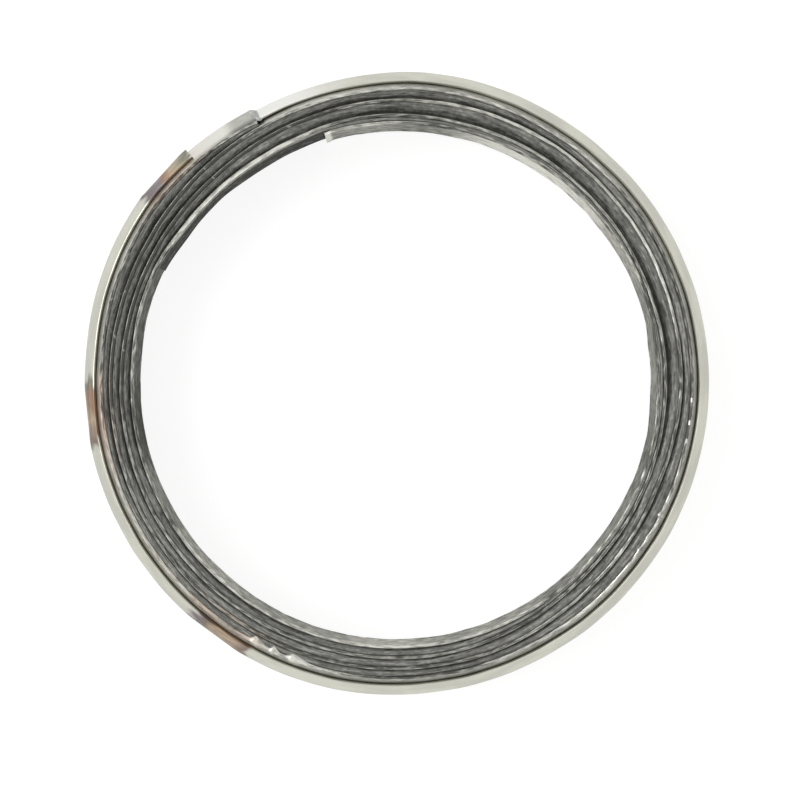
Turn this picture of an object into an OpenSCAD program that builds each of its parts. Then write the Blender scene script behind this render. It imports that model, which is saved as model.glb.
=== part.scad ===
// Spiral wound exhaust gasket, lying flat with its centre on the Z axis.
// A thin steel strip of V section is wound outwards over a soft graphite tape,
// and a narrower steel band laps the last turn and is spot welded to it.
// Winding angles count clockwise, seen from above, from the strip's inner end.

/* [Gasket] */
// Bore at the edges of the first turn
bore_d = 35.6; // [30:0.2:60]
// Free height over the graphite, which stands a little proud of the steel
free_h = 5.3; // [4:0.1:8]
// Turns of steel across the ring, counting the part turn at its outer end
turns = 4; // [3:1:6]

/* [Steel strip] */
// Thickness of the strip
strip_t = 0.2; // [0.15:0.01:0.3]
// Lean of each flank of the V from upright, in degrees
flank_lean = 23.5; // [15:0.5:30]
// Radius of the V's crest on its outer side
crest_r = 0.5; // [0.4:0.05:0.8]
// How far the strip's edges stay below the graphite's faces
edge_inset = 0.05; // [0.02:0.01:0.2]
// Direction of the strip's inner end, in degrees anticlockwise from +X
inner_end_a = 106; // [0:1:359]
// Arc by which the strip's outer end stops short of its inner end
end_short_a = 12; // [6:6:60]

/* [Graphite tape] */
// Thickness of the tape where it is pressed evenly
tape_t = 0.45; // [0.3:0.01:0.7]
// Thickness of the tape where it is pressed hardest
tape_least_t = 0.1; // [0.06:0.01:0.2]
// Thickness of the feathered tip at its inner start
tape_tip_t = 0.03; // [0.02:0.01:0.06]
// Arc over which the tip thickens
tape_tip_a = 12; // [6:6:18]
// Arc by which the tape starts ahead of the strip, bare on the bore side
tape_lead_a = 48; // [24:6:72]

/* [Closing band] */
// Thickness of the band
band_t = 0.2; // [0.15:0.01:0.3]
// Height of the band, less than the strip's
band_h = 3.9; // [2.5:0.1:4.8]
// Arc left open between the band's end and the strip's outer end
band_gap_a = 14; // [8:1:40]
// How far the band's start stands off where it butts against the strip's end
band_lift = 0.06; // [0:0.01:0.2]
// Spot welds along the band, counted back from its end
welds = 3; // [1:1:5]
// Length of the flat that each weld leaves on the crest
weld_len = 4.3; // [3:0.1:4.5]
// Arc from one weld to the next
weld_pitch_a = 48; // [24:1:60]

/* [Winding] */
// Clearance between neighbouring layers
layer_gap = 0.01; // [0.005:0.005:0.03]
// Arc over which each turn climbs on to the one before
climb_a = 78; // [60:6:90]
// How far past the strip's inner end the first climb is centred
first_climb_lag_a = 15; // [-10:1:30]
// How far ahead of the strip's inner end the last climb is centred
last_climb_lead_a = 9; // [-10:1:30]
// How far the strip's free inner end springs in towards the bore
end_spring = 0.25; // [0:0.01:0.3]
// How far the second turn sags on to the first, along one side
turn_sag = 0.37; // [0:0.01:0.4]
// Rise of the last stretch over the turn below it
end_rise = 0.2; // [0:0.01:0.25]

/* [Hidden] */

// Arc between sections of the strip and the tape, and a finer one for the band
seg_a = 6;
band_seg_a = 3;
// Arc left for the weld bead where the band butts against the strip's end
butt_a = 0.4;
// Arc over which the band's start comes down on to the strip
band_settle_a = 12;

// The flanks lean, so a thickness square to a flank is longer along the radius
lean_cos = cos(flank_lean);
lean_sin = sin(flank_lean);
lean_tan = tan(flank_lean);
strip_half_h = free_h / 2 - edge_inset;
pitch = (strip_t + tape_t + 2 * layer_gap) / lean_cos;
least_pitch = (strip_t + tape_least_t + 2 * layer_gap) / lean_cos;
first_r = bore_d / 2 + strip_t * lean_cos + strip_half_h * lean_tan;

// Winding angles of the ends
strip_end_w = 360 * turns - end_short_a;
tape_start_w = 360 - tape_lead_a;
band_start_w = strip_end_w - 360 + butt_a;
band_end_w = strip_end_w - band_gap_a;

// Where the winding departs from even turns: from, to, arc of each shoulder, change of radius
uneven = [
    [-80, 80, 80, -end_spring],
    [90, 117, 9, -0.17],
    [290, 322, 12, 0.15],
    [360, 550, 40, -turn_sag],
    [821, 901, 30, -0.28],
    [1058, 1100, 14, -0.08],
    [1116, 1150, 12, -0.06],
    [1146, 1196, 14, 0.06],
    [1206, 1392, 24, -0.07],
    [strip_end_w - 58, strip_end_w + 8, 36, end_rise]
];

function smooth(x) = let (t = min(max(x, 0), 1)) t * t * (3 - 2 * t);

function hump(w, from, to, shoulder) = smooth((w - from) / shoulder) * smooth((to - w) / shoulder);

// Sum of a list, as its product with a list of ones
function sum(values) = [for (v = values) 1] * values;

// Each climb is centred near the step at the strip's inner end, the later ones further ahead
function climb_w(k) =
    360 * k + first_climb_lag_a - (first_climb_lag_a + last_climb_lead_a) * (k - 1) / (turns - 2);

// Whole and part turns climbed so far
function level(w) = sum([for (k = [1 : turns - 1]) smooth((w - climb_w(k)) / climb_a + 0.5)]);

// Radius at which the strip's outer flanks would meet in a sharp crest, as it is wound.
function wound_r(w) =
    first_r + pitch * level(w) + sum([for (u = uneven) u[3] * hump(w, u[0], u[1], u[2])]);

// A turn can't sink further than on to the pressed tape over the turn inside it
function strip_r(w) = w < 360 ? wound_r(w) : max(wound_r(w), strip_r(w - 360) + least_pitch);

// Distance out along the radius, at height z, of a flank that lies off from the strip's outer flank
function flank_x(offset, z) = offset / lean_cos - z * lean_tan;

// One side of a V layer from top to bottom, as [distance out from the sharp crest, height]
function v_side(offset, edge) =
    let (centre_x = -crest_r / lean_cos, r = crest_r + offset)
    concat(
        [edge],
        [for (a = [flank_lean, 0, -flank_lean]) [centre_x + r * cos(a), r * sin(a)]],
        [[edge[0], -edge[1]]]
    );

// Sheet metal sheared square to its flanks: its outer side, then its inner side
function sheet_sides(offset, t, half_h) =
    let (edge = [flank_x(offset, half_h), half_h])
    [v_side(offset, edge), v_side(offset - t, edge - t * [lean_cos, lean_sin])];

// One side of the soft tape, pressed flat at the top and the bottom
function tape_side(offset) = v_side(offset, [flank_x(offset, free_h / 2), free_h / 2]);

// Thickness of the tape at the step where it first lies over the strip's inner end
step_tape_t = (strip_r(360) - strip_r(0)) * lean_cos - strip_t - 2 * layer_gap;

// Thickness of the bare start, which has no turn inside it
function bare_tape_t(w) = tape_tip_t + (step_tape_t - tape_tip_t) * smooth((w - tape_start_w) / tape_tip_a);

// Angles from one to another, with every whole multiple of the step between them
function stations(from, to, step) =
    concat([from], [for (i = [floor(from / step) + 1 : ceil(to / step) - 1]) i * step], [to]);

// Puts one side of a section in space, at winding angle w
function place(side, r, w) =
    let (a = inner_end_a - w)
    [for (p = side) [(r + p[0]) * cos(a), (r + p[0]) * sin(a), p[1] + free_h / 2]];

// Joins sections, each an outer side and an inner side of n points, into one closed solid
module wind(sections) {
    n = len(sections[0][0]);
    last = len(sections) - 1;
    points = [for (s = sections) for (side = s) each side];
    faces = [
        for (k = [0 : last - 1]) let (a = 2 * n * k, b = a + 2 * n) each concat(
            [for (i = [0 : n - 2]) [a + i, a + i + 1, b + i + 1, b + i]],
            [for (i = [n : 2 * n - 2]) [a + i, b + i, b + i + 1, a + i + 1]],
            [[a, b, b + n, a + n], [a + n - 1, a + 2 * n - 1, b + 2 * n - 1, b + n - 1]]
        ),
        for (i = [0 : n - 2]) [i, n + i, n + i + 1, i + 1],
        for (i = [0 : n - 2]) let (a = 2 * n * last + i) [a, a + 1, a + n + 1, a + n]
    ];
    polyhedron(points = points, faces = faces);
}

module metal_strip() {
    sides = sheet_sides(0, strip_t, strip_half_h);
    color("lightslategray")
        wind([for (w = stations(0, strip_end_w, seg_a)) [for (s = sides) place(s, strip_r(w), w)]]);
}

module graphite_filler() {
    under_strip = -strip_t - layer_gap;
    color("dimgray")
        wind([
            for (w = stations(tape_start_w, strip_end_w, seg_a)) [
                place(tape_side(under_strip), strip_r(w), w),
                w < 360
                    ? place(tape_side(under_strip - bare_tape_t(w)), strip_r(w), w)
                    : place(tape_side(layer_gap), strip_r(w - 360), w)
            ]
        ]);
}

// The band's crest lies this far out from the strip's sharp crest
band_crest_x = crest_r * (1 - 1 / lean_cos) + layer_gap + band_t;
weld_half_a = asin(weld_len / 2 / (strip_r(band_end_w) + band_crest_x));

// Winding angles of the start and end of each weld's flat, in the order of winding
weld_edges = [
    for (i = [welds - 1 : -1 : 0]) each [-2 * weld_half_a, 0] + [1, 1] * (band_end_w - weld_pitch_a * i)
];

// A weld presses the crest back to a flat chord between its two edges
function pressed(side, r, w) =
    let (
        hits = [for (i = [0 : 2 : 2 * welds - 2]) if (w >= weld_edges[i] && w <= weld_edges[i + 1]) i],
        mid_w = len(hits) == 0 ? w : weld_edges[hits[0]] + weld_half_a,
        chord_r = (strip_r(mid_w) + band_crest_x) * cos(weld_half_a) / cos(w - mid_w)
    )
    len(hits) == 0 ? side : [for (p = side) [min(p[0], chord_r - r), p[1]]];

module closing_band() {
    sides = sheet_sides(layer_gap + band_t, band_t, band_h / 2);
    cuts = concat([band_start_w], weld_edges);
    spans = [for (i = [1 : len(cuts) - 1]) stations(cuts[i - 1], cuts[i], band_seg_a)];
    color("silver")
        wind([
            for (span = spans, i = [span[0] == band_start_w ? 0 : 1 : len(span) - 1])
                let (
                    w = span[i],
                    r = strip_r(w) + band_lift * smooth(1 - (w - band_start_w) / band_settle_a)
                )
                [place(pressed(sides[0], r, w), r, w), place(sides[1], r, w)]
        ]);
}

metal_strip();
graphite_filler();
closing_band();
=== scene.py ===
# %% [markdown]
# # A spiral wound exhaust gasket
# The real ring is three pieces: a V-section steel strip wound about four times round, a soft
# graphite tape wound in with it, and a narrower steel band closed over the last turn by three
# spot welds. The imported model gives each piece's place and size. This script models the same
# three pieces again as fine meshes, with the small unevenness and the finishes of the real ones.

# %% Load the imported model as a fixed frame
import bpy
import numpy as np
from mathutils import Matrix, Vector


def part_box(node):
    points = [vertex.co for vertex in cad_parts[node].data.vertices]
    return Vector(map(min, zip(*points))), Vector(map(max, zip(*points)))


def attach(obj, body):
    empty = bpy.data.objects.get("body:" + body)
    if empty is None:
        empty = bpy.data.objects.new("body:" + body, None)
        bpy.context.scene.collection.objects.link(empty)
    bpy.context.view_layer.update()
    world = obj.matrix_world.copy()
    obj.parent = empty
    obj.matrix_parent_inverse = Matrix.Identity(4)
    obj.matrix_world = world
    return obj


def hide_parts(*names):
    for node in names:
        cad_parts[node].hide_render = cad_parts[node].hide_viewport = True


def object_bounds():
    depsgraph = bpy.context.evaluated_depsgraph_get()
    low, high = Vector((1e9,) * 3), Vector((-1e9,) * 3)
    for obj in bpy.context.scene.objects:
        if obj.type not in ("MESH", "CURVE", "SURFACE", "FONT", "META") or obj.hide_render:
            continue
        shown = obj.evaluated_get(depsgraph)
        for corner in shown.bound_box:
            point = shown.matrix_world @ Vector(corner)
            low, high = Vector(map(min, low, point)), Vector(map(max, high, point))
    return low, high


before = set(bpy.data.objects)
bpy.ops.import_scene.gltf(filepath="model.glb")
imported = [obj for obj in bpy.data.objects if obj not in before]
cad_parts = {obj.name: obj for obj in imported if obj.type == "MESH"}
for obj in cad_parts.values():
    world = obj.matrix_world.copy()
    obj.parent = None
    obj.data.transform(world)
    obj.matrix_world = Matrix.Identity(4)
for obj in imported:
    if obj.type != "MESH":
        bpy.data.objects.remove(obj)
cad_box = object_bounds()
print("nodes:", sorted(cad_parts))
print("model box in mm:", [[round(c * 1000, 2) for c in corner] for corner in cad_box])

# %% [markdown]
# ## Camera
# The ring was taken from straight above, close enough that the far edges of its bore show
# inside the near ones. A long lens about 200 mm above the ring gives the same small amount of
# perspective. The ring's centre lies a little left of and above the middle of the picture, so
# the camera is moved sideways by that much and still looks straight down.

# %% Place the camera over the ring
MM = 0.001
PICTURE_PX = 800
RING_CENTRE_PX = (396.0, 383.3)
RING_RADIUS_PX = 312.4

ring_low, ring_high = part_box("closing_band")
ring_radius = (ring_high[0] - ring_low[0]) / 2
ring_mid_z = (ring_high[2] + ring_low[2]) / 2
camera_height = 0.2027
metres_per_px = ring_radius / RING_RADIUS_PX

camera_data = bpy.data.cameras.new("camera")
camera = bpy.data.objects.new("camera", camera_data)
bpy.context.scene.collection.objects.link(camera)
bpy.context.scene.camera = camera
camera_data.sensor_width = 36
camera_data.lens = 36 * camera_height / (PICTURE_PX * metres_per_px)
camera_data.clip_start = 0.01
camera_data.clip_end = 5
camera.location = (
    (PICTURE_PX / 2 - RING_CENTRE_PX[0]) * metres_per_px,
    (RING_CENTRE_PX[1] - PICTURE_PX / 2) * metres_per_px,
    ring_mid_z + camera_height,
)
print("lens in mm:", round(camera_data.lens, 1), "ring radius in mm:", round(ring_radius / MM, 2))

# %% [markdown]
# ## Floor and light
# The picture has a white ground and soft light, a little stronger from the left. A pale floor
# under an even world does that. The world is plain white where the camera or a reflection sees
# it, and dimmer as a light, which leaves room for two soft lamps. The floor adds a little light
# of its own for those same rays only, so that it reads as white while the ring still shades it.

# %% Make the floor, the world and two soft lamps
def new_material(name):
    """A material with its node tree and its shader."""
    material = bpy.data.materials.new(name)
    material.use_nodes = True
    tree = material.node_tree
    shader = tree.nodes["Principled BSDF"]
    return material, tree, shader


def add_node(tree, kind, **settings):
    node = tree.nodes.new(kind)
    for key, value in settings.items():
        setattr(node, key, value)
    return node


def math(tree, operation, *values, clamp=False):
    """A Math node; each value is a number or another node's output."""
    node = add_node(tree, "ShaderNodeMath", operation=operation, use_clamp=clamp)
    for socket, value in zip(node.inputs, values):
        if isinstance(value, (int, float)):
            socket.default_value = value
        else:
            tree.links.new(value, socket)
    return node.outputs[0]


def seen_directly(tree):
    """1 for what the camera and mirror-like surfaces see, 0 for light that falls on things."""
    path = add_node(tree, "ShaderNodeLightPath")
    shiny = math(tree, "MAXIMUM", path.outputs["Is Glossy Ray"], path.outputs["Is Transmission Ray"])
    return math(tree, "MAXIMUM", path.outputs["Is Camera Ray"], shiny)


FLOOR_COLOUR = (0.3, 0.3, 0.298, 1)
FLOOR_GLOW = 0.82
floor_mesh = bpy.data.meshes.new("floor")
half = 1.5
floor_corners = [(-half, -half, 0), (half, -half, 0), (half, half, 0), (-half, half, 0)]
floor_mesh.from_pydata(floor_corners, [], [(0, 1, 2, 3)])
floor = bpy.data.objects.new("floor", floor_mesh)
bpy.context.scene.collection.objects.link(floor)
floor.location.z = cad_box[0][2] - 0.00002

floor_material, tree, shader = new_material("floor white")
shader.inputs["Base Color"].default_value = FLOOR_COLOUR
shader.inputs["Roughness"].default_value = 0.9
shader.inputs["Specular IOR Level"].default_value = 0.1
tree.links.new(math(tree, "MULTIPLY", seen_directly(tree), FLOOR_GLOW), shader.inputs["Emission Strength"])
shader.inputs["Emission Color"].default_value = (1, 1, 1, 1)
floor_mesh.materials.append(floor_material)

WORLD_LIGHT = 0.5
world = bpy.data.worlds.new("soft studio")
bpy.context.scene.world = world
world.use_nodes = True
background = world.node_tree.nodes["Background"]
background.inputs["Color"].default_value = (1, 1, 1, 1)
brighter = math(world.node_tree, "MULTIPLY", seen_directly(world.node_tree), 1 - WORLD_LIGHT)
world_strength = math(world.node_tree, "ADD", brighter, WORLD_LIGHT)
world.node_tree.links.new(world_strength, background.inputs["Strength"])


def add_lamp(name, place, size, watts):
    """A square soft lamp that faces the ring."""
    data = bpy.data.lights.new(name, "AREA")
    data.size = size
    data.energy = watts
    lamp = bpy.data.objects.new(name, data)
    lamp.location = place
    x, y, z = place
    distance = (x * x + y * y + z * z) ** 0.5
    lamp.rotation_euler = (np.arccos(z / distance), 0, np.arctan2(y, x) + np.pi / 2)
    bpy.context.scene.collection.objects.link(lamp)
    print("lamp", name, "at", place)


add_lamp("left softbox", (-0.65, 0.2, 0.55), 0.7, 5.0)
add_lamp("right softbox", (0.5, -0.3, 0.6), 0.6, 1.0)
bpy.context.scene.view_settings.view_transform = "Standard"

# %% [markdown]
# ## The path of the winding
# Everything here is one spiral, so one function holds its radius at each winding angle. The
# angle counts clockwise from the strip's inner end, and a full turn is 360. Each turn climbs
# over the one before near the step at that end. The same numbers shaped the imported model.
# Thin strip never lies quite true, so a few seeded sine waves are added to the radius. A turn
# can't sink further than on to the pressed tape below it, which keeps the layers apart.

# %% Radius of the strip at a winding angle
BORE_D = 35.6
TURNS = 4
STRIP_T = 0.2
FLANK_LEAN = np.radians(23.5)
CREST_R = 0.5
EDGE_INSET = 0.05
TAPE_T = 0.45
TAPE_LEAST_T = 0.1
LAYER_GAP = 0.01
INNER_END_A = 106
CLIMB_A = 78
CLIMB_LAG_A = (15, 3, -9)

tape_low, tape_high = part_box("graphite_filler")
FREE_H = (tape_high[2] - tape_low[2]) / MM
STRIP_END_W = 360 * TURNS - 12
STRIP_HALF_H = FREE_H / 2 - EDGE_INSET
lean_cos, lean_sin, lean_tan = np.cos(FLANK_LEAN), np.sin(FLANK_LEAN), np.tan(FLANK_LEAN)
pitch = (STRIP_T + TAPE_T + 2 * LAYER_GAP) / lean_cos
least_pitch = (STRIP_T + TAPE_LEAST_T + 2 * LAYER_GAP) / lean_cos
first_r = BORE_D / 2 + STRIP_T * lean_cos + STRIP_HALF_H * lean_tan

# Where the winding departs from even turns: from, to, arc of each shoulder, change of radius
UNEVEN = [
    (-80, 80, 80, -0.25),
    (90, 117, 9, -0.17),
    (290, 322, 12, 0.15),
    (360, 550, 40, -0.37),
    (821, 901, 30, -0.28),
    (1058, 1100, 14, -0.08),
    (1116, 1150, 12, -0.06),
    (1146, 1196, 14, 0.06),
    (1206, 1392, 24, -0.07),
    (STRIP_END_W - 58, STRIP_END_W + 8, 36, 0.2),
]
rng = np.random.default_rng(11)


def smooth(x):
    """Eases from 0 to 1 as x goes from 0 to 1."""
    t = np.clip(x, 0, 1)
    return t * t * (3 - 2 * t)


def hump(w, start, end, shoulder):
    """Rises to 1 after start and falls to 0 before end."""
    return smooth((w - start) / shoulder) * smooth((end - w) / shoulder)


def make_waves(count, longest, shortest):
    """Random sine waves between two lengths in degrees, the short ones lower."""
    lengths = np.geomspace(longest, shortest, count) * rng.uniform(0.85, 1.15, count)
    heights = (lengths / longest) ** 0.6 * rng.uniform(0.5, 1, count)
    return 1 / lengths, rng.uniform(0, 2 * np.pi, count), heights / heights.sum()


def wave(w, waves):
    """Sum of the waves at each winding angle, within -1 and 1."""
    cycles, phase, height = waves
    return (height * np.sin(2 * np.pi * np.multiply.outer(w, cycles) + phase)).sum(-1)


ring_waves = make_waves(9, 95, 7)
WOBBLE = 0.06


def strip_radius(w):
    """Radius in mm at which the strip's outer flanks would meet in a sharp crest."""
    w = np.asarray(w, float)
    climbed = sum(smooth((w - 360 * (k + 1) - CLIMB_LAG_A[k]) / CLIMB_A + 0.5) for k in range(3))
    r = first_r + pitch * climbed + sum(u[3] * hump(w, u[0], u[1], u[2]) for u in UNEVEN)
    r = r + WOBBLE * wave(w, ring_waves)
    over = w >= 360
    if over.any():
        r[over] = np.maximum(r[over], strip_radius(w[over] - 360) + least_pitch)
    return r


print("radius in mm at the strip's two ends:", strip_radius(np.array([0.0, STRIP_END_W])).round(2))

# %% [markdown]
# ## The V section
# The strip and the band are pressed to a V with a small round crest that points outwards, which
# makes the ring springy. The distance out from the sharp crest at a height z follows from the
# lean of the flanks and the crest's radius, so a fine section needs no list of points.

# %% One side of a V layer
def v_side(offset, z):
    """Distance out from the strip's sharp crest of a layer's side at height z."""
    offset, z = np.broadcast_arrays(np.asarray(offset, float), np.abs(z))
    r = np.maximum(CREST_R + offset, 0.02)
    arc = -CREST_R / lean_cos + np.sqrt(np.maximum(r * r - z * z, 0))
    return np.where(z < r * lean_sin, arc, offset / lean_cos - z * lean_tan)


def section_heights(flank_rows, crest_rows):
    """Heights from 1 at the top to -1 at the bottom, closer together at the edges and the crest."""
    crest = 0.11
    flank = crest + (1 - crest) * (1 - np.linspace(0, 1, flank_rows) ** 1.6)
    upper = np.concatenate([flank[:-1], np.linspace(crest, 0, crest_rows)])
    return np.concatenate([upper, -upper[-2::-1]])


print("rows in a section:", len(section_heights(7, 4)))

# %% [markdown]
# ## Sweeping a section along the winding
# A curve with a bevel object would twist this section and stretch its texture. A grid of points
# is plain to read and exact: each station along the winding has rows down the V and columns
# through the thickness. The skin of that grid is the mesh. Its UV map runs along the winding
# and across the section in millimetres, so that streaks in the finish follow the strip.

# %% Turn a grid of stations, rows and columns into a mesh object
def sweep(name, w, radius, height, flat_angle, values):
    """Skin of a grid; radius and height are (stations, rows, columns) in mm."""
    stations, rows, cols = radius.shape
    ring = [(i, 0) for i in range(rows)] + [(rows - 1, j) for j in range(1, cols)]
    ring += [(i, cols - 1) for i in range(rows - 2, -1, -1)] + [(0, j) for j in range(cols - 2, 0, -1)]
    row_of, col_of = np.array(ring).T
    n = len(ring)
    r, z = radius[:, row_of, col_of], height[:, row_of, col_of]
    a = np.radians(INNER_END_A - w)[:, None]
    points = np.stack([r * np.cos(a), r * np.sin(a), z + FREE_H / 2], -1) * MM

    k, i = np.mgrid[0 : stations - 1, 0:n]
    j = (i + 1) % n
    quads = np.stack([k * n + i, (k + 1) * n + i, (k + 1) * n + j, k * n + j], -1).reshape(-1, 4)
    place = {cell: index for index, cell in enumerate(ring)}
    outer = [place[(i, 0)] for i in range(rows)]
    inner = [place[(i, cols - 1)] for i in range(rows)]
    cap = [[outer[i], inner[i], inner[i + 1], outer[i + 1]] for i in range(1, rows - 2)]
    top = outer[1::-1] + [place[(0, j)] for j in range(1, cols)] + [inner[1]]
    foot = [place[(rows - 1, j)] for j in range(cols)] + inner[-2:-1] + outer[-2:-1]
    cap += [top, foot[::-1]]
    last = (stations - 1) * n
    faces = quads.tolist() + [c[::-1] for c in cap] + [[last + v for v in c] for c in cap]

    mesh = bpy.data.meshes.new(name)
    mesh.from_pydata(points.reshape(-1, 3).tolist(), [], faces)
    along = np.concatenate([[0], np.cumsum(np.linalg.norm(np.diff(points.mean(1), axis=0), axis=1))]) / MM
    loop = points[stations // 2]
    across = np.concatenate([[0], np.cumsum(np.linalg.norm(np.roll(loop, -1, 0) - loop, axis=1))]) / MM
    corner_u = np.stack([along[k], along[k + 1], along[k + 1], along[k]], -1).reshape(-1)
    corner_v = np.stack([across[i], across[i], across[i + 1], across[i + 1]], -1).reshape(-1)
    uv = np.zeros((len(mesh.loops), 2), np.float32)
    uv[: len(corner_u)] = np.stack([corner_u, corner_v], -1)
    mesh.uv_layers.new(name="winding").data.foreach_set("uv", uv.reshape(-1))
    for key, grid in values.items():
        flat = np.broadcast_to(grid, radius.shape)[:, row_of, col_of].astype(np.float32)
        mesh.attributes.new(key, "FLOAT", "POINT").data.foreach_set("value", flat.reshape(-1))
    mesh.shade_smooth()
    mesh.set_sharp_from_angle(angle=np.radians(flat_angle))
    piece = bpy.data.objects.new(name, mesh)
    bpy.context.scene.collection.objects.link(piece)
    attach(piece, "root")
    print(name, "has", sum(len(p.vertices) - 2 for p in mesh.polygons), "triangles")
    return piece


# %% [markdown]
# ## The steel strip
# The strip is sheared from sheet, so its edges are square with a slight burr. Here and there a
# bit of the edge is bent over and shines. Its free inner end springs in towards the bore, and
# its section leans a little over the tape's bare start. Three values are kept at its points for
# the finish. "clean_and_painted_light" says how much bare metal shows, from 0 under a full smear
# of graphite to 1: the edges were rubbed bright on some stretches, and the inner flank is bright
# near the free end. On the outer flank under the band it also holds painted light that lifts
# the shade beside the band's edge. "plain" says how even the finish is, and "warm" how far the
# heat of the welds reached.

# %% Build the strip
EDGE_ROUND = 0.035
EDGE_LIFT = 0.012
EDGE_FLARE = 0.05
edge_waves = make_waves(14, 16, 1.7)
clean_waves = make_waves(10, 60, 5)
# Stretches of the cut edge by winding angle, with how much brighter or duller each is
RUBBED = [
    (-4, 20, 0.2), (56, 82, 0.2), (86, 108, -0.25), (165, 250, 0.32), (318, 354, 0.5), (388, 438, 0.15),
    (455, 545, -0.1), (562, 630, 0.06), (815, 858, -0.15),
    (640, 722, -0.4), (742, 812, 0.35), (862, 882, 0.1), (905, 945, -0.15), (1000, 1060, -0.4),
    (1072, 1142, 0.3), (1158, 1198, -0.2), (1210, 1258, 0.28), (1264, 1282, -0.2),
    (1286, 1356, 0.35), (1378, 1408, -0.1), (1418, 1434, 0.12),
]
# Bits of edge bent over the tape: from, to (the steep end), reach in mm
BENT_BITS = [
    (1301.9, 1305.9, 0.26), (1299.1, 1301.5, 0.2), (1292.4, 1298.2, 0.25), (1211.2, 1213.2, 0.2),
    (1216.2, 1218.0, 0.08), (1219.5, 1220.9, 0.07), (1426.5, 1427.9, 0.09),
]
OPEN_W = 1408


def stations(start, end, step, fine_at=(), fine_step=0.2, reach=2.0):
    """Winding angles at an even step, and closer together round each of the fine places."""
    parts = [np.linspace(start, end, int(round((end - start) / step)) + 1)]
    parts += [np.arange(max(c - reach, start), min(c + reach, end), fine_step) for c in fine_at]
    w = np.unique(np.concatenate(parts).round(3))
    return w[np.concatenate([[True], np.diff(w) > 0.06])]


def sheet_grid(w, base, offset, thickness, half_h, heights):
    """Radius and height of a thin V sheet with rounded shear edges, four columns thick."""
    share = np.array([0, 0.2, 0.8, 1])
    lower = np.array([1, 0.12, 0.12, 1]) * EDGE_ROUND
    z_outer = heights * half_h
    z_inner = heights * (half_h - thickness * lean_sin)
    z = z_outer[:, None] * (1 - share) + z_inner[:, None] * share
    x = v_side(offset, z_outer)[:, None] * (1 - share) + v_side(offset - thickness, z_inner)[:, None] * share
    edge = (np.abs(heights) > 0.999)[:, None] * lower
    z = z - np.sign(z) * edge * lean_cos
    x = x + edge * lean_sin
    return base[:, None, None] + x, np.broadcast_to(z, (len(w),) + z.shape).copy()


# Where the section leans a little: from, to, arc of each shoulder, shift of its top and of its foot
LEANING = [(318, 364, 12, -0.06, 0), (314, 342, 10, 0, 0.12), (66, 116, 14, 0.1, 0.12)]


def lean_shift(w, heights):
    """Change of radius in mm where the section leans, for heights from 1 at the top to -1."""
    top = sum(l[3] * hump(w, l[0], l[1], l[2]) for l in LEANING)[:, None]
    foot = sum(l[4] * hump(w, l[0], l[1], l[2]) for l in LEANING)[:, None]
    return top * np.maximum(heights, 0)[None, :] + foot * np.maximum(-heights, 0)[None, :]


strip_w = stations(0, STRIP_END_W, 0.8, [sum(b[:2]) / 2 for b in BENT_BITS] + [1, STRIP_END_W - 1.5])
strip_heights = section_heights(7, 4)
strip_r, strip_z = sheet_grid(strip_w, strip_radius(strip_w), 0, STRIP_T, STRIP_HALF_H, strip_heights)
strip_r += lean_shift(strip_w, strip_heights)[:, :, None]
at_top = smooth((strip_heights - 0.9) / 0.1)[None, :, None]
inward = np.array([0, 0.25, 0.9, 1])
strip_z += (EDGE_LIFT * wave(strip_w, edge_waves))[:, None, None] * np.abs(strip_heights)[None, :, None]
at_edges = smooth((np.abs(strip_heights) - 0.93) / 0.07)[None, :, None]
flare = EDGE_FLARE * (1 + 0.6 * wave(strip_w, edge_waves) + 2.8 * hump(strip_w, 312, 362, 10))
strip_r -= at_edges * inward * flare[:, None, None]
strip_r -= (0.1 * smooth(1 - strip_w / 2.2))[:, None, None]
bent = sum(
    reach * smooth((strip_w - start) * 1.3 / (end - start)) * smooth((end - strip_w) * 4 / (end - start))
    for start, end, reach in BENT_BITS
)
bent = (bent * (1 + 0.35 * wave(strip_w * 3, edge_waves)))[:, None, None]
strip_r -= bent * at_top * inward
strip_z += bent * at_top * 0.2

rubbed = sum(amount * hump(strip_w, start - 6, end + 6, 12) for start, end, amount in RUBBED)
edge_clean = np.clip(0.36 + 0.22 * wave(strip_w, clean_waves) + rubbed, 0, 1)
bore_clean = 0.4 + 0.15 * wave(strip_w, clean_waves)
bore_clean += 0.08 * hump(strip_w, -20, 100, 18) + 0.36 * hump(strip_w, 20, 84, 22)
bore_clean += 0.15 * hump(strip_w, 150, 262, 26) - 0.2 * hump(strip_w, 256, 322, 24)
# Past the band's end the last flank lies open: it is bright, and grey towards its edge
past_band = smooth((strip_w - OPEN_W) / 4)[:, None]
open_clean = 1 - 0.6 * smooth((strip_heights - 0.62) / 0.6)
open_clean = open_clean - 0.36 * smooth((strip_w[:, None] - 1421) / 3)
clean_and_painted_light = np.empty_like(strip_r)
# The lapped outer flank is kept lighter than its smear alone, more so on one stretch: painted light that
# lifts the shade beside the band's cut edge
lapped_clean_and_painted_light = 0.55 + 0.12 * wave(strip_w, clean_waves) + 0.2 * hump(strip_w, 1060, 1100, 10)
clean_and_painted_light[:, :, 0] = lapped_clean_and_painted_light[:, None] * (1 - past_band) + open_clean * past_band
clean_and_painted_light[:, :, 1:3] = edge_clean[:, None, None]
clean_and_painted_light[:, :, 3] = np.where(strip_heights > 0.985, edge_clean[:, None], bore_clean[:, None])
clean_and_painted_light = np.maximum(clean_and_painted_light, bent * at_top * 4)
beside_bits = smooth((strip_heights - 0.65) / 0.2)
clean_and_painted_light[:, :, 0] = np.maximum(clean_and_painted_light[:, :, 0], beside_bits * np.minimum(bent[:, :, 0] * 4, 0.9))
clean_and_painted_light = np.maximum(clean_and_painted_light, smooth(1.5 - strip_w / 1.6)[:, None, None])
plain = np.zeros_like(strip_r)
plain[:, :, 0] = np.maximum(past_band * 0.8, 0.4)
plain[:, np.abs(strip_heights) < 0.985, 3] = 0.55
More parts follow.
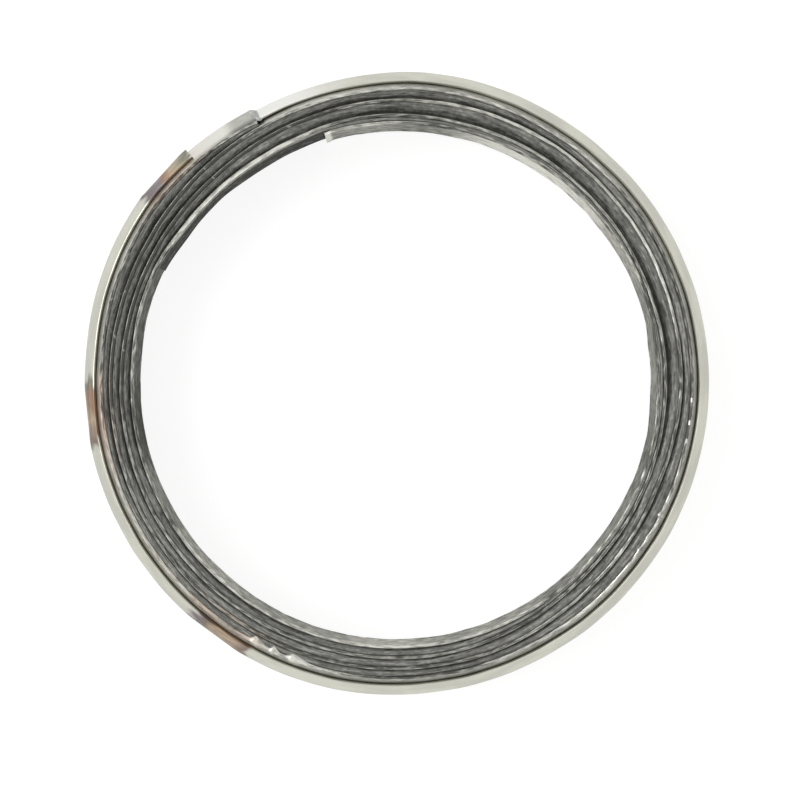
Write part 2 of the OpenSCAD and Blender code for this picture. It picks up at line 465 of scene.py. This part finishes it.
# The welds warmed the strip below them, so it is tinted too, and less so one turn further in
WELD_PLACES = (1408.2, 1360.2, 1312.2)
warm = sum(hump(strip_w, place - 14, place + 12, 10) for place in WELD_PLACES)
warm = warm + 0.6 * sum(hump(strip_w + 360, place - 14, place + 12, 10) for place in WELD_PLACES[1:])
warm = warm + 0.45 * hump(strip_w, 1296, 1372, 20)

strip_values = {"clean_and_painted_light": clean_and_painted_light, "plain": plain, "warm": warm[:, None, None]}
strip = sweep("wound_strip", strip_w, strip_r, strip_z, 38, strip_values)
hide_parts("metal_strip")

# %% [markdown]
# ## The graphite tape
# The tape is pressed between the turns and stands a little proud of them. It hugs the inner
# side of the turn outside it and has pulled away from the turn inside it, which leaves a groove
# along each turn, dark in its own shade and darker still by painted shade. Its top is torn and
# streaky, so each column of points has waves of its own. The value "rubbed_and_painted_shade"
# says how far the top is rubbed to a grey shine. It also holds painted shade down into each
# groove and on the inner side of the tape's bare start.

# %% Build the tape
TAPE_START_W = 360 - 48
TAPE_TIP_T = 0.03
TAPE_TIP_A = 12
TAPE_COLS = 9
GROOVE_DEPTH = 0.3

tape_w = stations(TAPE_START_W, STRIP_END_W, 0.8)
tape_heights = section_heights(6, 4)
tape_base = strip_radius(tape_w)
bare = tape_w < 360
under_strip = -STRIP_T - LAYER_GAP
ends = strip_radius(np.array([360.0, 0.0]))
step_tape_t = (ends[0] - ends[1]) * lean_cos - STRIP_T - 2 * LAYER_GAP
bare_t = TAPE_TIP_T + (step_tape_t - TAPE_TIP_T) * smooth((tape_w - TAPE_START_W) / TAPE_TIP_A)

share = np.linspace(0, 1, TAPE_COLS)
tape_zs = tape_heights * FREE_H / 2
outer_r = tape_base[:, None] + v_side(under_strip, tape_zs)[None, :]
bare_r = tape_base[:, None] + v_side(under_strip - bare_t[:, None], tape_zs[None, :])
wrapped_base = strip_radius(np.where(bare, tape_w, tape_w - 360))
wrapped_r = wrapped_base[:, None] + v_side(LAYER_GAP, tape_zs)[None, :]
inner_r = np.where(bare[:, None], bare_r, wrapped_r)
outer_r = outer_r + lean_shift(tape_w, tape_heights)
inner_r = inner_r + lean_shift(np.where(bare, tape_w, tape_w - 360), tape_heights)
tape_r = outer_r[:, :, None] * (1 - share) + inner_r[:, :, None] * share

# Stretches where the tape sits deeper, with painted shade: from, to, more groove in mm, painted shade (below
# 0 lighter)
SUNKEN = [
    (630, 722, 0.1, 0.35), (722, 838, 0.2, 0.12), (986, 1084, 0.1, 0.35), (1084, 1132, 0.12, 0.2),
    (1346, 1428, 0.1, 0.3), (460, 560, 0.05, 0.0), (840, 900, 0.05, 0.05), (1180, 1290, 0.05, 0.12),
    (562, 632, 0.0, 0.2), (698, 716, 0.0, -0.3), (1060, 1076, 0.0, -0.2),
]
torn_waves = [make_waves(16, 22, 1.7) for _ in range(TAPE_COLS)]
groove_waves = make_waves(10, 70, 5)
torn = np.stack([wave(tape_w, t) for t in torn_waves], -1)
groove = GROOVE_DEPTH * (0.7 + 0.6 * wave(tape_w, groove_waves))
groove_from = 0.5 + 0.2 * wave(tape_w + 500, groove_waves)
for start, end, deeper, _ in SUNKEN:
    groove += deeper * hump(tape_w, start - 8, end + 8, 16)
    groove_from -= 1.2 * deeper * hump(tape_w, start - 8, end + 8, 16)
groove, groove_from = groove[:, None], groove_from[:, None]
fall = smooth((share - groove_from) / (1.02 - groove_from))
thickness_mm = np.abs(outer_r[:, 0] - inner_r[:, 0])[:, None]
drop = groove * fall * np.clip(thickness_mm / 0.45, 0.2, 1.2) + 0.02 + 0.035 * (torn + 0.5)
drop += 0.05 * (share < 0.01)
# The bent bits of the strip's edge press the tape down
drop += 0.1 * hump(tape_w, 1291, 1307, 2)[:, None] * (share < 0.8)
near_edge = smooth((np.abs(tape_heights) - 0.8) / 0.2)
tape_z = np.sign(tape_zs)[None, :, None] * (
    np.abs(tape_zs)[None, :, None] - near_edge[None, :, None] * np.maximum(drop, 0)[:, None, :]
)

burnish_waves = make_waves(12, 50, 3)
# Rubbed grey on the top; towards the groove the colour darkens as painted shade
rubbed_and_painted_shade = 0.7 - 0.6 * fall + 0.25 * torn + 0.22 * wave(tape_w, burnish_waves)[:, None]
# Painted shade on the sunken stretches, where the tape lies deeper
for start, end, _, darker in SUNKEN:
    rubbed_and_painted_shade -= darker * hump(tape_w, start - 12, end + 12, 24)[:, None]
# At the bare start the tape is rubbed grey at its outer side and darkens towards its inner side as painted
# shade
rubbed_and_painted_shade = np.clip(np.where(bare[:, None], 0.95 - 0.85 * smooth(share * 1.6 - 0.5), rubbed_and_painted_shade), 0, 1)
tape = sweep("graphite_tape", tape_w, tape_r, tape_z, 50, {"rubbed_and_painted_shade": rubbed_and_painted_shade[:, None, :]})
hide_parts("graphite_filler")

# %% [markdown]
# ## The closing band
# The band starts butted against the strip's outer end and is wound over the last turn. Each
# spot weld pressed its crest to a short flat. The flat is made as in the imported model, by
# limiting the outer side to a chord. The value "turned" is the winding angle and "off_crest"
# the distance from the crest to an edge, from 0 to 1; the finish uses them to put the heat
# colours on the flats.

# %% Build the band
BAND_T = 0.2
BAND_H = 3.9
BAND_START_W = STRIP_END_W - 360 + 0.4
BAND_END_W = STRIP_END_W - 14
BAND_LIFT = 0.06
WELDS = 3
WELD_LEN = 4.3
WELD_PITCH_A = 48

band_w = stations(BAND_START_W, BAND_END_W, 0.5)
band_heights = section_heights(8, 6)
band_base = strip_radius(band_w) + BAND_LIFT * smooth(1 - (band_w - BAND_START_W) / 12)
band_r, band_z = sheet_grid(band_w, band_base, LAYER_GAP + BAND_T, BAND_T, BAND_H / 2, band_heights)
crest_x = CREST_R * (1 - 1 / lean_cos) + LAYER_GAP + BAND_T
end_r = strip_radius(np.array([BAND_END_W]))[0] + crest_x
weld_half_a = np.degrees(np.arcsin(WELD_LEN / 2 / end_r))
weld_mids = [BAND_END_W - weld_half_a - WELD_PITCH_A * k for k in range(WELDS)]
for mid_w in weld_mids:
    mid_r = strip_radius(np.array([mid_w]))[0] + crest_x
    chord = mid_r * np.cos(np.radians(weld_half_a)) / np.cos(np.radians(band_w - mid_w))
    on_flat = np.abs(band_w - mid_w) <= weld_half_a
    limited = np.minimum(band_r[:, :, 0], chord[:, None])
    band_r[:, :, 0] = np.where(on_flat[:, None], limited, band_r[:, :, 0])
sheared = np.zeros_like(band_r)
sheared[:, np.abs(band_heights) > 0.999, :] = (0, 0.1, 1, 1)
# On one stretch the dark cut edge is painted less dark: painted light that lifts the shade along the band's
# edge
sheared *= (1 - 0.6 * hump(band_w, 1098, 1174, 14))[:, None, None]
band_values = {"turned": band_w[:, None, None], "sheared": sheared}
band_values["off_crest"] = np.abs(band_heights)[None, :, None]
band = sweep("outer_band", band_w, band_r, band_z, 32, band_values)
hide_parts("closing_band")

# %% [markdown]
# ## The tack at the butt
# Where the band starts, it is tacked to the end of the strip by a small weld. It is a thin bead
# that follows the V across the gap and steps down from the strip to the band, which lies lower.
# A short sweep makes it too: a few stations across the gap, flush with both sheets at its ends,
# raised in between, with a lumpy outer side.

# %% Build the weld bead
BEAD_RISE = 0.035
BEAD_H = 4.3

bead_w = np.linspace(STRIP_END_W - 360 - 0.75, BAND_START_W + 0.9, 13)
bead_heights = section_heights(8, 5)
across_bead = np.linspace(0, 1, len(bead_w))[:, None]
crown = np.sin(np.pi * across_bead)
lumps = 0.5 + 0.5 * np.sin(bead_heights * 23 + 1.0) * np.sin(bead_heights * 9)
bead_zs = bead_heights * BEAD_H / 2
strip_side, band_side = strip_radius(np.array([STRIP_END_W, BAND_START_W])) + [0, BAND_LIFT]
step_down = smooth(across_bead * 1.5 - 0.25 + 0.12 * np.sin(bead_heights * 17))
bead_base = strip_side * (1 - step_down) + (band_side + LAYER_GAP + BAND_T) * step_down
bead_outer = bead_base + v_side(0, bead_zs) + crown * (BEAD_RISE + 0.04 * lumps) - 0.015
bead_inner = bead_outer - 0.02 - crown * 0.2
bead_r = np.stack([bead_outer, bead_outer * 0.5 + bead_inner * 0.5, bead_inner], -1)
bead_z = np.broadcast_to(bead_zs[None, :, None], bead_r.shape)
bead = sweep("tack_bead", bead_w, bead_r, bead_z, 60, {})

# %% [markdown]
# ## Small tools for finishes
# Each finish is a small node tree, and wiring nodes by hand is long-winded. These helpers each
# add one node and return its output. The streaks come from noise that is stretched along the
# winding by scaling the two directions of the UV map by different amounts.

# %% Node helpers
def grade(tree, value, low, high, to_low=0.0, to_high=1.0):
    """Smoothly maps a value from low..high to to_low..to_high."""
    node = add_node(tree, "ShaderNodeMapRange", interpolation_type="SMOOTHSTEP")
    tree.links.new(value, node.inputs["Value"])
    for name, number in zip(("From Min", "From Max", "To Min", "To Max"), (low, high, to_low, to_high)):
        node.inputs[name].default_value = number
    return node.outputs[0]


def blend_colours(tree, share, first, second):
    """First colour where share is 0 and second where it is 1."""
    node = add_node(tree, "ShaderNodeMix", data_type="RGBA")
    for name, value in (("Factor", share), ("A", first), ("B", second)):
        # A colour mix has several sockets of each name; the last one carries colours
        socket = [i for i in node.inputs if i.name == name and i.enabled][-1]
        if isinstance(value, tuple):
            socket.default_value = (*value, 1)
        else:
            tree.links.new(value, socket)
    return node.outputs["Result"]


def stored(tree, name):
    """A value that the mesh keeps at its points."""
    return add_node(tree, "ShaderNodeAttribute", attribute_name=name).outputs["Fac"]


def winding_noise(tree, along, across, detail=3.0):
    """Noise with features of about 1/along by 1/across mm, along and across the winding."""
    uv = add_node(tree, "ShaderNodeUVMap", uv_map="winding")
    scaled = add_node(tree, "ShaderNodeMapping")
    scaled.inputs["Scale"].default_value = (along, across, 1)
    noise = add_node(tree, "ShaderNodeTexNoise", noise_dimensions="2D")
    noise.inputs["Scale"].default_value = 1
    noise.inputs["Detail"].default_value = detail
    tree.links.new(uv.outputs["UV"], scaled.inputs["Vector"])
    tree.links.new(scaled.outputs["Vector"], noise.inputs["Vector"])
    return noise.outputs["Fac"]


def add_bump(tree, shader, height, depth):
    """Relief of the given depth in metres on a shader."""
    bump = add_node(tree, "ShaderNodeBump")
    bump.inputs["Strength"].default_value = 1
    bump.inputs["Distance"].default_value = depth
    tree.links.new(height, bump.inputs["Height"])
    tree.links.new(bump.outputs["Normal"], shader.inputs["Normal"])


print("helpers ready")

# %% [markdown]
# ## Scratches and specks
# A scratch runs across several turns, over steel and graphite alike, so it is placed in the
# ring's own plane and used by both finishes. For each one, a few vector nodes measure how far
# a point of the surface lies from a straight line between two places, given by radius and
# angle, as a ruler laid on the ring would.

# %% Marks across the ring's face
# Each mark: radius in mm and angle in degrees of its two ends, half width in mm and strength
MARKS = [
    ((20.2, 163.8), (19.4, 161.3), 0.1, 0.5),
    ((20.0, 168.5), (18.6, 173.2), 0.11, 0.45),
    ((20.0, 131.8), (18.1, 131.6), 0.09, 0.45),
    ((19.9, 134.6), (19.8, 134.2), 0.12, 0.7),
    ((18.9, 112.8), (18.0, 109.7), 0.16, 0.45),
    ((20.1, 349.0), (20.1, 348.4), 0.09, 0.9),
    ((20.1, 352.6), (20.1, 352.0), 0.1, 0.9),
    ((20.1, 357.0), (20.1, 356.4), 0.1, 0.9),
    ((18.05, 184.2), (18.0, 183.6), 0.12, 0.9),
    ((18.1, 45.2), (18.0, 44.6), 0.11, 0.9),
    ((19.3, 66.0), (19.3, 65.0), 0.1, 0.9),
    ((19.25, 70.6), (19.2, 70.0), 0.11, 0.9),
]
FACE_Z = 0.0045


def on_plane(place):
    radius, angle = place
    return np.array([radius * np.cos(np.radians(angle)), radius * np.sin(np.radians(angle)), 0]) * MM


def vector_math(tree, operation, first, second):
    """A Vector Math node; returns it with its inputs set or linked."""
    node = add_node(tree, "ShaderNodeVectorMath", operation=operation)
    for socket, value in zip(node.inputs, (first, second)):
        if isinstance(value, bpy.types.NodeSocket):
            tree.links.new(value, socket)
        else:
            socket.default_value = tuple(value)
    return node


def marks_mask(tree):
    """1 on the marks and 0 away from them, on the upper face only."""
    where = add_node(tree, "ShaderNodeTexCoord").outputs["Object"]
    flat = vector_math(tree, "MULTIPLY", where, (1, 1, 0)).outputs["Vector"]
    nearest = None
    for first, second, half_width, strength in MARKS:
        a, b = on_plane(first), on_plane(second)
        from_a = vector_math(tree, "SUBTRACT", flat, a).outputs["Vector"]
        along = vector_math(tree, "DOT_PRODUCT", from_a, (b - a) / ((b - a) @ (b - a))).outputs["Value"]
        share = math(tree, "ADD", along, 0.0, clamp=True)
        step = add_node(tree, "ShaderNodeVectorMath", operation="SCALE")
        step.inputs[0].default_value = tuple(b - a)
        tree.links.new(share, step.inputs["Scale"])
        apart = vector_math(tree, "DISTANCE", from_a, step.outputs["Vector"]).outputs["Value"]
        here = grade(tree, apart, 0, half_width * MM * 1.3, strength, 0.0)
        nearest = here if nearest is None else math(tree, "MAXIMUM", nearest, here)
    height = add_node(tree, "ShaderNodeSeparateXYZ")
    tree.links.new(where, height.inputs[0])
    return math(tree, "MULTIPLY", nearest, grade(tree, height.outputs["Z"], FACE_Z, FACE_Z + 0.0004))


print("marks:", len(MARKS))

# %% [markdown]
# ## Strip steel under a smear of graphite
# The strip is dull rolled stainless steel. Winding and handling rubbed graphite on it, most of
# all on its edges. So the finish has two states, bare steel and dark smear, and one value
# chooses between them: the "clean_and_painted_light" value of the mesh, which also carries
# painted light on the lapped flank, broken up by noise that is stretched along the strip. The
# smear is darker and rougher than the steel.

# %% Finish of the strip
def set_finish(piece, material):
    piece.data.materials.clear()
    piece.data.materials.append(material)
    print(piece.name, "is finished in", material.name)


STEEL = (0.66, 0.66, 0.6)
STEEL_DULL = (0.29, 0.29, 0.262)
SMEAR = (0.075, 0.075, 0.068)

strip_steel, tree, shader = new_material("strip steel")
shader.inputs["Metallic"].default_value = 1
streaks = winding_noise(tree, 1.1, 9, 4)
specks = winding_noise(tree, 1.5, 6, 2)
patchy = grade(tree, streaks, 0.25, 0.75, -0.18, 0.18)
uneven = math(tree, "ADD", patchy, grade(tree, specks, 0.3, 0.7, -0.13, 0.13))
uneven = math(tree, "MULTIPLY", uneven, grade(tree, stored(tree, "plain"), 0, 1, 1.0, 0.2))
clean_and_painted_light_here = math(tree, "ADD", stored(tree, "clean_and_painted_light"), uneven)
clean_and_painted_light_here = math(tree, "MAXIMUM", clean_and_painted_light_here, marks_mask(tree), clamp=True)
steel_colour = blend_colours(tree, grade(tree, clean_and_painted_light_here, 0.45, 1.0), STEEL_DULL, STEEL)
strip_colour = blend_colours(tree, grade(tree, clean_and_painted_light_here, 0.1, 0.6), SMEAR, steel_colour)
warm_noise = grade(tree, winding_noise(tree, 0.6, 3, 3), 0.35, 0.7, 0.2, 1.0)
warm_here = math(tree, "MULTIPLY", stored(tree, "warm"), warm_noise)
warm_here = math(tree, "MULTIPLY", warm_here, 0.75)
warm_steel = blend_colours(tree, grade(tree, clean_and_painted_light_here, 0.1, 0.7), (0.14, 0.1, 0.075), (0.58, 0.46, 0.37))
strip_colour = blend_colours(tree, warm_here, strip_colour, warm_steel)
tree.links.new(strip_colour, shader.inputs["Base Color"])
tree.links.new(grade(tree, clean_and_painted_light_here, 0, 1, 0.55, 0.3), shader.inputs["Roughness"])
add_bump(tree, shader, math(tree, "ADD", streaks, specks), 0.000008)
set_finish(strip, strip_steel)

# %% [markdown]
# ## Pressed graphite
# Flexible graphite is dark grey, soft and slightly shiny where it is rubbed. Torn from its
# deep dark to a rubbed grey, the colour follows the "rubbed_and_painted_shade" value of the
# mesh, which also darkens it as painted shade in the grooves, with long streaks and a fine
# mottle. The bump gives it the flaky look of pressed foil.

# %% Finish of the tape
GRAPHITE_DARK = (0.038, 0.038, 0.033)
GRAPHITE_GREY = (0.14, 0.14, 0.127)
GRAPHITE_SHINE = (0.3, 0.3, 0.275)

graphite, tree, shader = new_material("pressed graphite")
shader.inputs["Metallic"].default_value = 0.25
shader.inputs["Specular IOR Level"].default_value = 0.5
long_streaks = winding_noise(tree, 0.7, 8, 4)
mottle = winding_noise(tree, 2.4, 5, 3)
shine = math(tree, "ADD", stored(tree, "rubbed_and_painted_shade"), grade(tree, long_streaks, 0.25, 0.75, -0.3, 0.3))
shine = math(tree, "ADD", shine, grade(tree, mottle, 0.25, 0.75, -0.18, 0.18))
shine = math(tree, "MAXIMUM", shine, marks_mask(tree), clamp=True)
dark_to_grey = blend_colours(tree, grade(tree, shine, 0.0, 0.6), GRAPHITE_DARK, GRAPHITE_GREY)
tape_colour = blend_colours(tree, grade(tree, shine, 0.6, 1.0), dark_to_grey, GRAPHITE_SHINE)
tree.links.new(tape_colour, shader.inputs["Base Color"])
tree.links.new(grade(tree, shine, 0, 1, 0.62, 0.38), shader.inputs["Roughness"])
add_bump(tree, shader, math(tree, "ADD", long_streaks, mottle), 0.00003)
set_finish(tape, graphite)

# %% [markdown]
# ## Band steel with heat tints
# Welding heat grows a thin oxide film on stainless steel. Its colour depends on how hot the
# spot was: straw at the cool rim, then brown, then purple and blue-grey. Here the winding angle
# picks the colour along each flat from a short colour ramp, and noise breaks its outline.

# %% Finish of the band
BAND_STEEL = (0.545, 0.545, 0.465)
BAND_HAZE = (0.465, 0.465, 0.4)
# Painted highlight on the band's start, where the band tilts
BAND_PAINTED_HIGHLIGHT = (0.74, 0.74, 0.7)
EDGE_OLIVE = (0.13, 0.13, 0.1)
STRAW = (0.33, 0.29, 0.19)
ORANGE_BROWN = (0.26, 0.15, 0.085)
BROWN = (0.15, 0.1, 0.07)
PURPLE_GREY = (0.13, 0.1, 0.105)
BLUE_GREY = (0.2, 0.185, 0.2)
TAN = (0.4, 0.3, 0.2)
OLIVE_GREY = (0.17, 0.162, 0.12)
# Colours in the order of the winding, from one end of each flat to the other
TINTS = [
    [
        (0.0, PURPLE_GREY), (0.22, BLUE_GREY), (0.42, ORANGE_BROWN), (0.65, TAN), (0.88, STRAW),
        (1.0, OLIVE_GREY),
    ],
    [(0.0, BROWN), (0.3, TAN), (0.6, ORANGE_BROWN), (0.9, ORANGE_BROWN), (1.0, OLIVE_GREY)],
    [(0.0, BROWN), (0.3, TAN), (0.6, TAN), (0.85, BROWN), (1.0, PURPLE_GREY)],
]
# The third tint reaches a little past its flat, against the winding
TINT_SHIFT = (0, 0, -1.2)

band_steel, tree, shader = new_material("band steel")
shader.inputs["Metallic"].default_value = 1
rolling = winding_noise(tree, 0.6, 14, 4)
haze = winding_noise(tree, 0.25, 0.5, 3)
turned = stored(tree, "turned")
wander = grade(tree, winding_noise(tree, 0.5, 0.6, 1.5), 0.25, 0.75, -1.1, 1.1)
narrower = math(tree, "POWER", stored(tree, "off_crest"), 2.0)
band_colour = blend_colours(tree, grade(tree, haze, 0.35, 0.65), BAND_STEEL, BAND_HAZE)
streaky = grade(tree, winding_noise(tree, 0.5, 2.2, 3), 0.3, 0.65)
# Near its start the band is painted paler: a painted highlight where the band tilts
painted_highlight_at_start = grade(tree, turned, BAND_START_W + 6, BAND_START_W + 22, 1.0, 0.0)
band_colour = blend_colours(tree, painted_highlight_at_start, band_colour, BAND_PAINTED_HIGHLIGHT)
tinted = None
for mid_w, tint, shift in zip(weld_mids, TINTS, TINT_SHIFT):
    ramp = add_node(tree, "ShaderNodeValToRGB")
    stops = ramp.color_ramp.elements
    while len(stops) < len(tint):
        stops.new(0.5)
    for stop, (position, colour) in zip(stops, tint):
        stop.position = position
        stop.color = (*colour, 1)
    off_mid = math(tree, "SUBTRACT", math(tree, "ADD", turned, wander), mid_w + shift)
    tree.links.new(grade(tree, off_mid, -weld_half_a, weld_half_a), ramp.inputs["Fac"])
    reach = math(tree, "ADD", math(tree, "ABSOLUTE", off_mid), math(tree, "MULTIPLY", narrower, 0.9))
    inside = grade(tree, reach, weld_half_a - 0.3, weld_half_a + 1.8, 1.0, 0.0)
    deeper = blend_colours(tree, streaky, (0.74, 0.72, 0.7), (1.12, 1.12, 1.12))
    tint_colour = vector_math(tree, "MULTIPLY", ramp.outputs["Color"], deeper).outputs["Vector"]
    band_colour = blend_colours(tree, inside, band_colour, tint_colour)
    tinted = inside if tinted is None else math(tree, "MAXIMUM", tinted, inside)
edge_colour = blend_colours(tree, math(tree, "MULTIPLY", tinted, 0.7), EDGE_OLIVE, BROWN)
band_colour = blend_colours(tree, stored(tree, "sheared"), band_colour, edge_colour)
tree.links.new(band_colour, shader.inputs["Base Color"])
rough = math(tree, "ADD", grade(tree, rolling, 0.3, 0.7, 0.26, 0.4), grade(tree, tinted, 0, 1, 0, 0.08))
tree.links.new(rough, shader.inputs["Roughness"])
add_bump(tree, shader, rolling, 0.000008)
set_finish(band, band_steel)

# %% [markdown]
# ## The tack's scale
# A weld that cooled in air keeps a thin grey scale. It is rough and darker than the steel, and
# cloudy noise in the ring's own space varies it, as this lump has no winding direction.

# %% Finish of the bead
weld_scale, tree, shader = new_material("weld scale")
shader.inputs["Metallic"].default_value = 1
cloud = add_node(tree, "ShaderNodeTexNoise")
cloud.inputs["Scale"].default_value = 2500
tree.links.new(add_node(tree, "ShaderNodeTexCoord").outputs["Object"], cloud.inputs["Vector"])
cloudy = grade(tree, cloud.outputs["Fac"], 0.35, 0.65)
scale_colour = blend_colours(tree, cloudy, (0.25, 0.25, 0.255), (0.5, 0.51, 0.48))
tree.links.new(scale_colour, shader.inputs["Base Color"])
tree.links.new(grade(tree, cloud.outputs["Fac"], 0.3, 0.7, 0.35, 0.6), shader.inputs["Roughness"])
add_bump(tree, shader, cloud.outputs["Fac"], 0.00002)
set_finish(bead, weld_scale)
